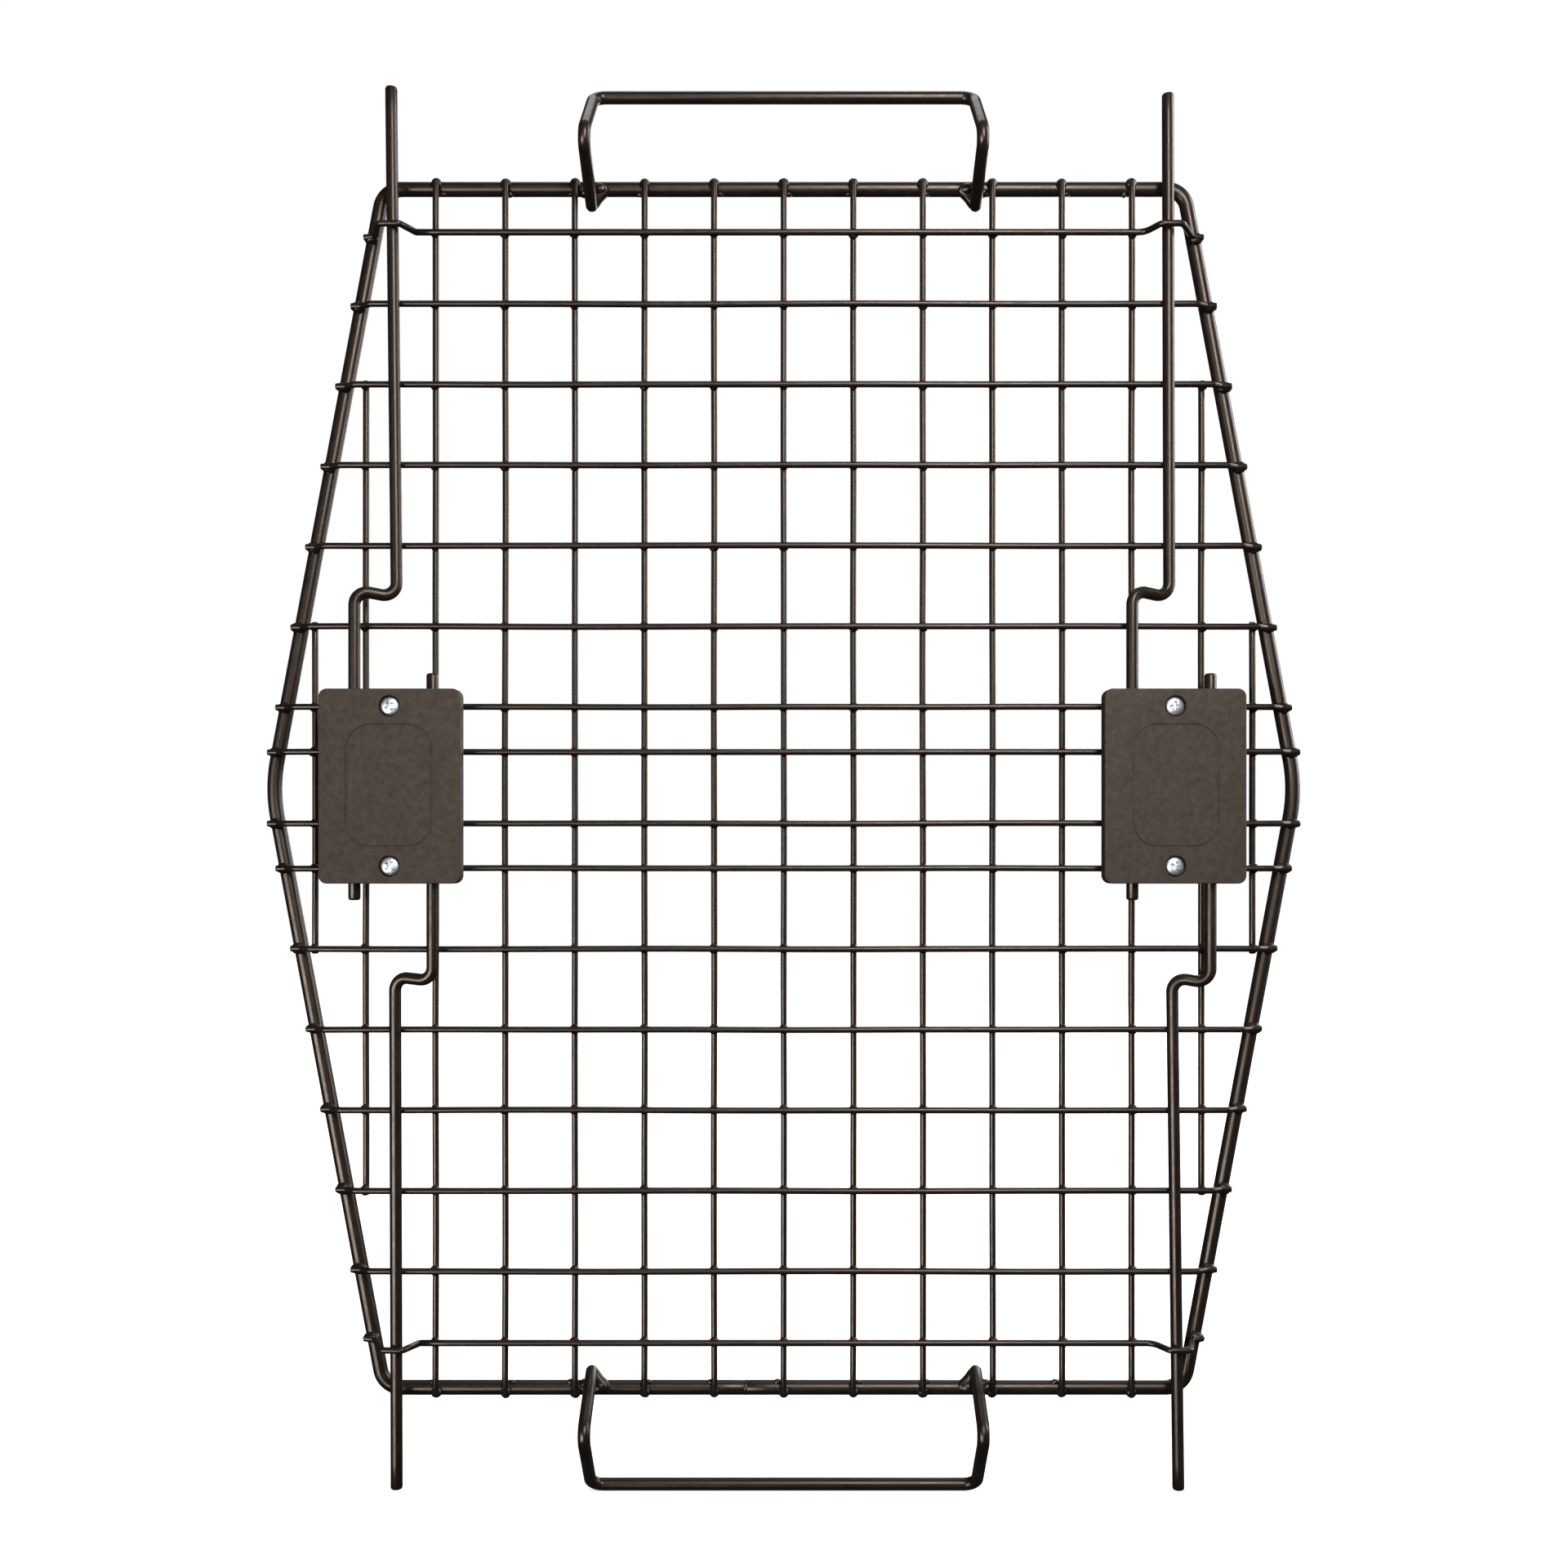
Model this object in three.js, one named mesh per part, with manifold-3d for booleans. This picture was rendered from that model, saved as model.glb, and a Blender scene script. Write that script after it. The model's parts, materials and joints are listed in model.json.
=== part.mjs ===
// Door of a wire pet kennel: a welded wire grille in a bent round-bar hoop, with two latch boxes.
// Each box holds an upper and a lower spring-loaded slide rod whose tips bolt the door into its
// frame. Two bent wire loops, on the top and bottom bars, stop the door against the frame.
//
// Millimetres. The door is drawn flat: x across, y up and z forwards, with z = 0 on the hoop's
// centreline. The exported group stands it up, +Z up, with its front towards -Y.

import * as THREE from 'three';
import * as BufferGeometryUtils from 'three/addons/utils/BufferGeometryUtils.js';
import Module from 'manifold-3d';

const wasm = await Module();
wasm.setup();

// ---------------------------------------------------------------- driving dimensions

const GAP = 0.3; // clearance left between neighbouring pieces

const HOOP = {
  diameter: 5.5,
  halfHeight: 220.2,
  halfWidthAtBars: 147,
  halfWidthAtMiddle: 188.1,
  cornerBend: 8,
  middleBend: 50,
  jointX: -14,
};

const MESH = {
  diameter: 2.3,
  uprightPitch: 25.4,
  uprightsEachSide: 5,
  uprightEnd: 221.8,
  crossPitch: 29.3,
  crossesEachWay: 6,
  middleCross: 13,
  joggleStart: 1.1, // where a cross wire leaves the hoop and reaches the grille, inside the hoop's bar
  joggleEnd: 5.1,
  joggleBend: 3,
};
const GUIDE = {
  height: 201.8,
  endDrop: 1,
  landing: 1.6,
  humpRise: 0.4,
  humpBend: 1.6,
  outerShoulder: 4.4, // corners of the hump, measured from the rod it passes over
  innerShoulder: 3.2,
  innerFoot: 7.6,
};
const SHORT_UPRIGHTS = [
  { x: 152.4, end: 148.5 },
  { x: 171, end: 60.5 },
];

const ROD = {
  diameter: 4.3,
  crankHeight: 68.4,
  stubEnd: 40.6,
  crankOffset: 14,
  bend: 4.6,
};
// The four rods, bent by hand, differ a little. Each box leg is on the outer (1) or inner (-1) side
// of its latch; distances across are measured outwards from the middle of the door.
const RODS = {
  left_upper: { boxSide: 1, crankX: 139.7, crankRise: 2.2, tipX: 141.7, tipHeight: 252.8 },
  right_upper: { boxSide: -1, crankX: 139.2, crankRise: 2.2, tipX: 138.7, tipHeight: 250.4 },
  left_lower: { boxSide: -1, crankX: 140.3, crankRise: 1.2, tipX: 139.7, tipHeight: 253.3 },
  right_lower: { boxSide: 1, crankX: 140.2, crankRise: 2.2, tipX: 142.5, tipHeight: 253.6 },
};

const LOOP = {
  diameter: 4.5,
  foot: { x: 70.6, height: 213.7, depth: -1.5 },
  kink: { x: 69.9, height: 227, depth: 31 },
  topCrossbar: { x: 69.1, height: 251, depth: 6 },
  bottomCrossbar: { x: 70.1, height: 253.3, depth: 6 },
  bend: 4.6,
};

const LATCH_X = { left: 139.8, right: 138.9 };
const LATCH = {
  width: 50.4,
  height: 69.3,
  depth: 13,
  baseInset: 2, // the base is this much narrower than the cover at each side
  corner: 3,
  wall: 2,
  edge: 0.5,
  coverScrewHeight: 28.4,
  clampScrewHeight: 21.2,
  bossWidth: 8,
  bossInnerEnd: 16.5,
};
const PLATE = { width: 44, height: 60, thickness: 3 };
const SCREW = { headDiameter: 6.7, headHeight: 1.9, shankDiameter: 2.9, slotWidth: 1.1, slotDepth: 1 };
const RECESS = { diameter: 7.6, rim: 0.8, headSunk: 0.3 };
const HOLE_DIAMETER = 3.5;
const SPRING = { wire: 0.9, coilDiameter: 6.8, turns: 8 };
const COLLAR = { diameter: 8.4, height: 3.2 };

const ROUND = { mesh: 8, bar: 12, spring: 5, hole: 12, head: 12 }; // sides of each round section
const BEND_STEPS = { mesh: 1, bar: 3 };
const SPRING_STEPS_PER_TURN = 8;

// ---------------------------------------------------------------- depths, from back to front

const uprightDepth = (HOOP.diameter + MESH.diameter) / 2 + GAP;
const crossDepth = uprightDepth + MESH.diameter + GAP;
const latchBack = crossDepth + MESH.diameter / 2 + GAP;
const latchFront = latchBack + LATCH.depth;
const boxRodDepth = latchBack + LATCH.depth / 2;
const longRodDepth = latchBack + ROD.diameter / 2;
const guideHumpDepth = longRodDepth + (ROD.diameter + MESH.diameter) / 2 + GAP;
const plateFront = uprightDepth - MESH.diameter / 2 - GAP;
const plateBack = plateFront - PLATE.thickness;
const recessFloor = latchFront - RECESS.headSunk - SCREW.headHeight - GAP;

// ---------------------------------------------------------------- materials

const coatedWire = new THREE.MeshStandardMaterial({ color: 0x241d1a, roughness: 0.5, metalness: 0.1 });
const latchShell = new THREE.MeshStandardMaterial({ color: 0x3c3733, roughness: 0.75, metalness: 0 });
const zinc = new THREE.MeshStandardMaterial({ color: 0xb9bcc0, roughness: 0.35, metalness: 0.9 });
const springSteel = new THREE.MeshStandardMaterial({ color: 0x8d9094, roughness: 0.4, metalness: 0.9 });

// ---------------------------------------------------------------- wires

/** Centreline of a bent wire: straight runs joined by arcs, with stations only at ends and bends. */
class BentWire extends THREE.Curve {
  constructor(corners, bendRadius, bendSteps) {
    super();
    this.stations = [];
    this.tangents = [];
    this.bendSteps = bendSteps;
    corners.forEach((corner, i) => {
      const radius = Array.isArray(bendRadius) ? bendRadius[i] : bendRadius;
      this.addCorner(corners[i - 1], corner, corners[i + 1], radius);
    });
    this.steps = this.stations.length - 1;
  }

  addCorner(previous, corner, next, radius) {
    if (!previous || !next) {
      const direction = previous ? corner.clone().sub(previous) : next.clone().sub(corner);
      this.addStation(corner.clone(), direction);
      return;
    }
    const arriving = corner.clone().sub(previous).normalize();
    const leaving = next.clone().sub(corner).normalize();
    const turn = arriving.angleTo(leaving);
    const inward = leaving.clone().addScaledVector(arriving, -arriving.dot(leaving)).normalize();
    const start = corner.clone().addScaledVector(arriving, -radius * Math.tan(turn / 2));
    for (let i = 0; i <= this.bendSteps; i += 1) {
      const angle = (turn * i) / this.bendSteps;
      const point = start.clone().addScaledVector(arriving, radius * Math.sin(angle));
      point.addScaledVector(inward, radius * (1 - Math.cos(angle)));
      const tangent = arriving.clone().multiplyScalar(Math.cos(angle));
      this.addStation(point, tangent.addScaledVector(inward, Math.sin(angle)));
    }
  }

  addStation(point, direction) {
    this.stations.push(point);
    this.tangents.push(direction.normalize());
  }

  getPoint(t) {
    return this.stations[Math.round(t * this.steps)].clone();
  }

  getTangentAt(t) {
    return this.tangents[Math.round(t * this.steps)].clone();
  }

  getSpacedPoints() {
    return this.stations.map((station) => station.clone());
  }
}

/** Compression spring's centreline along y, from low to high. */
class Helix extends THREE.Curve {
  constructor(x, low, high, depth) {
    super();
    Object.assign(this, { x, low, high, depth });
  }

  getPoint(t) {
    const angle = t * SPRING.turns * 2 * Math.PI;
    const radius = SPRING.coilDiameter / 2;
    const y = THREE.MathUtils.lerp(this.low, this.high, t);
    return new THREE.Vector3(this.x + radius * Math.cos(angle), y, this.depth + radius * Math.sin(angle));
  }
}

const circle = (diameter, sides) => {
  const angles = Array.from({ length: sides }, (_, i) => ((i + 0.5) * 2 * Math.PI) / sides);
  const radius = diameter / 2;
  return new THREE.Shape(
    angles.map((angle) => new THREE.Vector2(radius * Math.cos(angle), radius * Math.sin(angle))),
  );
};

const wireAlong = (path, steps, diameter, sides) =>
  new THREE.ExtrudeGeometry(circle(diameter, sides), { steps, extrudePath: path, bevelEnabled: false });

/** Bar or mesh wire of the given kind, 'bar' or 'mesh', bent along its corners. */
const bentWire = (kind, corners, bendRadius, diameter) => {
  const path = new BentWire(corners, bendRadius, BEND_STEPS[kind]);
  return wireAlong(path, path.steps, diameter, ROUND[kind]);
};

const point = (x, y, z) => new THREE.Vector3(x, y, z);

/** Hoop's half width at a height, along its straight sides. */
const hoopHalfWidth = (height) => {
  const slope = (HOOP.halfWidthAtMiddle - HOOP.halfWidthAtBars) / HOOP.halfHeight;
  return HOOP.halfWidthAtMiddle - slope * Math.abs(height);
};

/** One bar bent into an upright hexagon; its two ends meet in the bottom bar. */
const hoopGeometry = () => {
  const { halfHeight: top, halfWidthAtBars: narrow, halfWidthAtMiddle: wide } = HOOP;
  const corners = [
    point(HOOP.jointX - GAP / 2, -top, 0),
    point(-narrow, -top, 0),
    point(-wide, 0, 0),
    point(-narrow, top, 0),
    point(narrow, top, 0),
    point(wide, 0, 0),
    point(narrow, -top, 0),
    point(HOOP.jointX + GAP / 2, -top, 0),
  ];
  const { cornerBend, middleBend } = HOOP;
  const bends = [0, cornerBend, middleBend, cornerBend, cornerBend, middleBend, cornerBend, 0];
  return bentWire('bar', corners, bends, HOOP.diameter);
};

const uprightGeometry = (end) =>
  bentWire('mesh', [point(0, -end, uprightDepth), point(0, end, uprightDepth)], 0, MESH.diameter);

/** Cross wire: runs in front of the uprights and steps back onto the hoop at both sides. */
const crossGeometry = (height) => {
  const side = hoopHalfWidth(height);
  const stations = [
    { x: side + HOOP.diameter / 2, depth: uprightDepth },
    { x: side - MESH.joggleStart, depth: uprightDepth },
    { x: side - MESH.joggleEnd, depth: crossDepth },
  ];
  const right = stations.map(({ x, depth }) => point(x, height, depth));
  const left = stations.map(({ x, depth }) => point(-x, height, depth)).reverse();
  return bentWire('mesh', [...right, ...left], MESH.joggleBend, MESH.diameter);
};

const rodXAt = ({ crankX, tipX, tipHeight }, height) => {
  const along = (height - ROD.crankHeight) / (tipHeight - ROD.crankHeight);
  return crankX + (tipX - crankX) * along;
};

/** Guide wire on the top edge: a cross wire that humps forwards over the slide rod at each side. */
const guideGeometry = (leftRod, rightRod) => {
  const { height } = GUIDE;
  const humpHeight = height + GUIDE.humpRise;
  const side = hoopHalfWidth(height);
  const hump = (sign, rodX) => [
    point(sign * (side + HOOP.diameter / 2), height - GUIDE.endDrop, uprightDepth),
    point(sign * (side - GUIDE.landing), height - GUIDE.endDrop / 2, uprightDepth),
    point(sign * (rodX + GUIDE.outerShoulder), humpHeight, guideHumpDepth),
    point(sign * (rodX - GUIDE.innerShoulder), humpHeight, guideHumpDepth),
    point(sign * (rodX - GUIDE.innerFoot), height, crossDepth),
  ];
  const right = hump(1, rodXAt(rightRod, height));
  const left = hump(-1, rodXAt(leftRod, height)).reverse();
  return bentWire('mesh', [...right, ...left], GUIDE.humpBend, MESH.diameter);
};

/** Stop loop on the top bar: two legs rise forwards, kink back and join in a crossbar. */
const loopGeometry = (crossbar) => {
  const stations = [LOOP.foot, LOOP.kink, crossbar];
  const leg = (sign) => stations.map(({ x, height, depth }) => point(sign * x, height, depth));
  return bentWire('bar', [...leg(-1), ...leg(1).reverse()], LOOP.bend, LOOP.diameter);
};

// ---------------------------------------------------------------- slide rods

/** Slide rod on the top edge: tip, long leg, crank across, then the leg through the box. */
const rodGeometry = (rod, boxX, mirror) => {
  const corners = [
    point(mirror * rod.tipX, rod.tipHeight, longRodDepth),
    point(mirror * rod.crankX, ROD.crankHeight, longRodDepth),
    point(boxX, ROD.crankHeight + rod.crankRise, boxRodDepth),
    point(boxX, -ROD.stubEnd, boxRodDepth),
  ];
  const path = new BentWire(corners, ROD.bend, BEND_STEPS.bar);
  path.tangents[0].set(0, -1, 0); // the tip is cut level, square to the rod's travel
  return wireAlong(path, path.steps, ROD.diameter, ROUND.bar);
};

// ---------------------------------------------------------------- solids that are cut and joined

const solidOf = (geometry) => {
  const bare = geometry.clone();
  bare.deleteAttribute('normal');
  bare.deleteAttribute('uv');
  const merged = BufferGeometryUtils.mergeVertices(bare, 1e-4);
  const mesh = new wasm.Mesh({
    numProp: 3,
    vertProperties: new Float32Array(merged.attributes.position.array),
    triVerts: new Uint32Array(merged.index.array),
  });
  return new wasm.Manifold(mesh);
};

const geometryOf = (solid) => {
  const mesh = solid.getMesh();
  const geometry = new THREE.BufferGeometry();
  geometry.setAttribute('position', new THREE.BufferAttribute(mesh.vertProperties, 3));
  geometry.setIndex(new THREE.BufferAttribute(mesh.triVerts, 1));
  return geometry;
};

const roundedRectangle = (width, height, corner) => {
  const [x, y] = [width / 2, height / 2];
  const shape = new THREE.Shape();
  shape.moveTo(-x + corner, -y);
  shape.lineTo(x - corner, -y);
  shape.absarc(x - corner, -y + corner, corner, -Math.PI / 2, 0);
  shape.lineTo(x, y - corner);
  shape.absarc(x - corner, y - corner, corner, 0, Math.PI / 2);
  shape.lineTo(-x + corner, y);
  shape.absarc(-x + corner, y - corner, corner, Math.PI / 2, Math.PI);
  shape.lineTo(-x, -y + corner);
  shape.absarc(-x + corner, -y + corner, corner, Math.PI, (3 * Math.PI) / 2);
  return shape;
};

/** Straight slab of a flat shape between two depths. */
const slab = (shape, back, front) => {
  const geometry = new THREE.ExtrudeGeometry(shape, {
    depth: front - back,
    bevelEnabled: false,
    curveSegments: 3,
  });
  return solidOf(geometry.translate(0, 0, back));
};

const block = (width, low, high, back, front) => {
  const geometry = new THREE.BoxGeometry(width, high - low, front - back);
  return solidOf(geometry.translate(0, (low + high) / 2, (back + front) / 2));
};

/** Round bar along the depth, at a height on the latch's centreline. */
const roundAcross = (diameter, height, back, front) => {
  const geometry = new THREE.CylinderGeometry(diameter / 2, diameter / 2, front - back, ROUND.hole);
  geometry.rotateX(Math.PI / 2);
  return solidOf(geometry.translate(0, height, (back + front) / 2));
};

const bothEnds = [-1, 1];

/** Half-round notches in both end walls, where the two box legs pass through. */
const cutRodNotches = (solid) =>
  bothEnds.reduce((cut, side) => {
    const diameter = ROD.diameter + 3 * GAP;
    const bar = new THREE.CylinderGeometry(diameter / 2, diameter / 2, LATCH.height + 4, ROUND.bar);
    bar.translate(side * ROD.crankOffset, 0, boxRodDepth);
    return cut.subtract(solidOf(bar));
  }, solid);

/** Rear half of the latch box: a tray with a boss at each end for the two screws there. */
const baseGeometry = () => {
  const front = boxRodDepth - GAP / 2;
  const { height, corner, wall } = LATCH;
  const width = LATCH.width - 2 * LATCH.baseInset;
  const pocket = roundedRectangle(width - 2 * wall, height - 2 * wall, corner - 1);
  let base = slab(roundedRectangle(width, height, corner), latchBack, front);
  base = base.subtract(slab(pocket, latchBack + wall, front + 1));
  bothEnds.forEach((end) => {
    const ends = [end * LATCH.bossInnerEnd, (end * (height - wall)) / 2];
    base = base.add(block(LATCH.bossWidth, Math.min(...ends), Math.max(...ends), latchBack, front));
    const coverHole = roundAcross(HOLE_DIAMETER, end * LATCH.coverScrewHeight, latchBack + wall, front + 1);
    const clampHole = roundAcross(HOLE_DIAMETER, end * LATCH.clampScrewHeight, latchBack - 1, front - wall);
    base = base.subtract(coverHole).subtract(clampHole);
  });
  return geometryOf(cutRodNotches(base));
};

/** Front half of the latch box: a shell with eased front edges and a sunk seat for each screw. */
const coverGeometry = () => {
  const back = boxRodDepth + GAP / 2;
  const { width, height, corner, wall, edge } = LATCH;
  const outline = roundedRectangle(width - 2 * edge, height - 2 * edge, corner - edge);
  const shell = new THREE.ExtrudeGeometry(outline, {
    depth: latchFront - back,
    bevelThickness: edge,
    bevelSize: edge,
    bevelSegments: 1,
    curveSegments: 3,
  });
  let cover = solidOf(shell.translate(0, 0, back - edge));
  const behind = new THREE.BoxGeometry(2 * width, 2 * height, 4 * edge).translate(0, 0, back - 2 * edge);
  const pocket = roundedRectangle(width - 2 * wall, height - 2 * wall, corner - 1);
  cover = cover.subtract(solidOf(behind)).subtract(slab(pocket, back - 1, latchFront - wall));
  bothEnds.forEach((end) => {
    const y = end * LATCH.coverScrewHeight;
    cover = cover.add(roundAcross(RECESS.diameter + 2 * RECESS.rim, y, back, latchFront - wall / 2));
    cover = cover.subtract(roundAcross(RECESS.diameter, y, recessFloor, latchFront + 1));
    cover = cover.subtract(roundAcross(HOLE_DIAMETER, y, back - 1, latchFront));
  });
  return geometryOf(cutRodNotches(cover));
};

/** Plate behind the grille; two screws pull it towards the latch base and clamp the wires. */
const plateGeometry = () => {
  let plate = slab(roundedRectangle(PLATE.width, PLATE.height, LATCH.corner), plateBack, plateFront);
  bothEnds.forEach((end) => {
    const y = end * LATCH.clampScrewHeight;
    plate = plate.subtract(roundAcross(HOLE_DIAMETER, y, plateBack - 1, plateFront + 1));
  });
  return geometryOf(plate);
};

/** Pan-head screw along z with a cross slot; the head's underside is at z = 0. */
const screwGeometry = (length) => {
  const [head, shank] = [SCREW.headDiameter / 2, SCREW.shankDiameter / 2];
  const profile = [
    [0, -length],
    [shank * 0.5, -length],
    [shank, -length + 1],
    [shank, 0],
    [head, 0],
    [head, SCREW.headHeight * 0.45],
    [head * 0.8, SCREW.headHeight * 0.85],
    [head * 0.4, SCREW.headHeight],
    [0, SCREW.headHeight],
  ];
  const turned = new THREE.LatheGeometry(profile.map(([x, y]) => new THREE.Vector2(x, y)), ROUND.head);
  let screw = solidOf(turned.rotateX(Math.PI / 2));
  [0, Math.PI / 2].forEach((angle) => {
    const slot = new THREE.BoxGeometry(SCREW.headDiameter * 0.6, SCREW.slotWidth, 2 * SCREW.slotDepth);
    slot.rotateZ(angle);
    screw = screw.subtract(solidOf(slot.translate(0, 0, SCREW.headHeight)));
  });
  return geometryOf(screw);
};

/** Retaining collar on a rod's box leg: stops the rod at the end wall and carries the spring. */
const collarGeometry = () => {
  const [bore, rim] = [ROD.diameter / 2 + GAP, COLLAR.diameter / 2];
  const profile = [
    [bore, 0],
    [rim, 0],
    [rim, COLLAR.height],
    [bore, COLLAR.height],
    [bore, 0],
  ];
  return new THREE.LatheGeometry(profile.map(([x, y]) => new THREE.Vector2(x, y)), ROUND.hole);
};

// ---------------------------------------------------------------- assembly

const door = new THREE.Group();

/** Adds one named piece; a half turn about the door's own axis gives the opposite piece. */
const addPiece = (name, geometry, material, { x = 0, y = 0, z = 0, halfTurn = false } = {}) => {
  const mesh = new THREE.Mesh(geometry, material);
  mesh.name = name;
  mesh.position.set(x, y, z);
  mesh.rotation.z = halfTurn ? Math.PI : 0;
  door.add(mesh);
  return mesh;
};

const twoDigits = (number) => String(number).padStart(2, '0');

const addGrille = () => {
  addPiece('hoop', hoopGeometry(), coatedWire);
  const full = uprightGeometry(MESH.uprightEnd);
  const count = 2 * MESH.uprightsEachSide + 1;
  for (let i = 0; i < count; i += 1) {
    const x = (i - MESH.uprightsEachSide) * MESH.uprightPitch;
    addPiece(`upright_wire_${twoDigits(i + 1)}`, full, coatedWire, { x });
  }
  SHORT_UPRIGHTS.forEach(({ x, end }, i) => {
    addPiece(`left_short_upright_${i + 1}`, uprightGeometry(end), coatedWire, { x: -x });
    addPiece(`right_short_upright_${i + 1}`, uprightGeometry(end), coatedWire, { x });
  });
  const heights = [MESH.middleCross];
  for (let i = 1; i <= MESH.crossesEachWay; i += 1) heights.push(i * MESH.crossPitch);
  heights.forEach((height, i) => {
    addPiece(`upper_cross_wire_${i + 1}`, crossGeometry(height), coatedWire);
    addPiece(`lower_cross_wire_${i + 1}`, crossGeometry(height), coatedWire, { halfTurn: true });
  });
  const topGuide = guideGeometry(RODS.left_upper, RODS.right_upper);
  const bottomGuide = guideGeometry(RODS.right_lower, RODS.left_lower); // sides swap in the half turn
  addPiece('top_guide_wire', topGuide, coatedWire);
  addPiece('bottom_guide_wire', bottomGuide, coatedWire, { halfTurn: true });
  addPiece('top_stop_loop', loopGeometry(LOOP.topCrossbar), coatedWire);
  addPiece('bottom_stop_loop', loopGeometry(LOOP.bottomCrossbar), coatedWire, { halfTurn: true });
};

const addLatchBox = (side, sign) => {
  const x = sign * LATCH_X[side];
  addPiece(`${side}_latch_base`, baseGeometry(), latchShell, { x });
  addPiece(`${side}_latch_cover`, coverGeometry(), latchShell, { x });
  addPiece(`${side}_clamp_plate`, plateGeometry(), latchShell, { x });
  const coverScrew = screwGeometry(recessFloor - latchBack - LATCH.wall - GAP);
  const clampScrew = screwGeometry(boxRodDepth - LATCH.wall - plateBack - 2 * GAP);
  bothEnds.forEach((end) => {
    const place = end > 0 ? 'upper' : 'lower';
    const y = end * LATCH.coverScrewHeight;
    addPiece(`${side}_cover_screw_${place}`, coverScrew, zinc, { x, y, z: recessFloor + GAP });
    const clamp = addPiece(`${side}_clamp_screw_${place}`, clampScrew, zinc, {
      x,
      y: end * LATCH.clampScrewHeight,
      z: plateBack - GAP,
    });
    clamp.rotation.x = Math.PI;
  });
};

/** One slide rod with its collar and spring, made for the top edge and half-turned for the bottom. */
const addRod = (side, half) => {
  const name = `${side}_${half}`;
  const halfTurn = half === 'lower';
  const mirror = (side === 'right') === halfTurn ? -1 : 1;
  const boxX = mirror * (LATCH_X[side] + RODS[name].boxSide * ROD.crankOffset);
  addPiece(`${name}_rod`, rodGeometry(RODS[name], boxX, mirror), coatedWire, { halfTurn });
  const endWall = LATCH.height / 2 - LATCH.wall;
  const collar = collarGeometry().translate(boxX, endWall - GAP - COLLAR.height, boxRodDepth);
  addPiece(`${name}_collar`, collar, springSteel, { halfTurn });
  const seat = SPRING.wire / 2 + GAP;
  const helix = new Helix(boxX, -endWall + seat, endWall - GAP - COLLAR.height - seat, boxRodDepth);
  const steps = SPRING.turns * SPRING_STEPS_PER_TURN;
  addPiece(`${name}_spring`, wireAlong(helix, steps, SPRING.wire, ROUND.spring), springSteel, { halfTurn });
};

addGrille();
addLatchBox('left', -1);
addLatchBox('right', 1);
addRod('left', 'upper');
addRod('right', 'upper');
addRod('right', 'lower');
addRod('left', 'lower');

// Stood up about the middle of the hoop, with the origin at the middle of the door's depth.
door.rotation.x = Math.PI / 2;
door.position.y = -new THREE.Box3().setFromObject(door, true).getCenter(new THREE.Vector3()).y;

export default door;
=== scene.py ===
"""Looks of a wire kennel door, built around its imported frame. Metres, +Z up, front towards -Y."""

import json
import math
import random

import bmesh
import bpy
from mathutils import Matrix, Vector, noise


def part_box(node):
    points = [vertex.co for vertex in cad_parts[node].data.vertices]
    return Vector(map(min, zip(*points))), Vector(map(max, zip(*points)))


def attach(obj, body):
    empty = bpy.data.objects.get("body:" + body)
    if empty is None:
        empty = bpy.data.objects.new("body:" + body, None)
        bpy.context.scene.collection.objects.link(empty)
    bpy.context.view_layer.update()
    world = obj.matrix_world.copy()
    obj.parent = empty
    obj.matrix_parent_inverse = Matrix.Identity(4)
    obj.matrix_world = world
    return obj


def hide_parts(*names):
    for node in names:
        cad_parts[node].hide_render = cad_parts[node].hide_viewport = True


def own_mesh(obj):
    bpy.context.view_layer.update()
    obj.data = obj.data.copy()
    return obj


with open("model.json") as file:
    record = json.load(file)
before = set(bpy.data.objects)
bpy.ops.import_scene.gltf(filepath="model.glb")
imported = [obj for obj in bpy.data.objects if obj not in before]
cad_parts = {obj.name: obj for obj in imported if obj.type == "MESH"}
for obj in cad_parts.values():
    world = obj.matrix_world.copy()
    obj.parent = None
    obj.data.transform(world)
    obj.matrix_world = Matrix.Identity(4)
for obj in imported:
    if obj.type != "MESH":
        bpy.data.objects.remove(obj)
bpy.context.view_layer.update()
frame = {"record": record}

random.seed(7)
noise.seed_set(7)        # for noise_vector, which is otherwise seeded from the clock

# ------------------------------------------------------------------ driving dimensions

MM = 0.001
GAP = 0.3 * MM              # clearance that the frame keeps between neighbouring solids
HOOP_RADIUS = 2.64 * MM
MESH_RADIUS = 1.15 * MM
ROD_RADIUS = 2.15 * MM
LOOP_RADIUS = 2.22 * MM

HOOP_CORNER_BEND = 8 * MM
HOOP_MIDDLE_BEND = 58 * MM
HOOP_JOINT_X = -14 * MM     # where the two ends of the bent bar meet, in the bottom bar
HOOP_NARROW = 147 * MM      # half width where the sides meet the top and bottom bars
HOOP_WIDE = 188.1 * MM      # half width at mid height, before the bend rounds it

UPRIGHT_DEPTH = 4.2 * MM    # depths are measured forwards from the hoop's centreline
CROSS_DEPTH = 6.8 * MM
LONG_ROD_DEPTH = 10.4 * MM
BOX_ROD_DEPTH = 14.75 * MM
HUMP_DEPTH = 14.0 * MM

JOGGLE_START = 1.1 * MM     # a cross wire steps back to the hoop between these two, measured
JOGGLE_END = 5.1 * MM       # inwards from the hoop's centreline
JOGGLE_BEND = 3 * MM
WIRE_WANDER = 0.22 * MM     # most that a grille wire strays sideways

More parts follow.
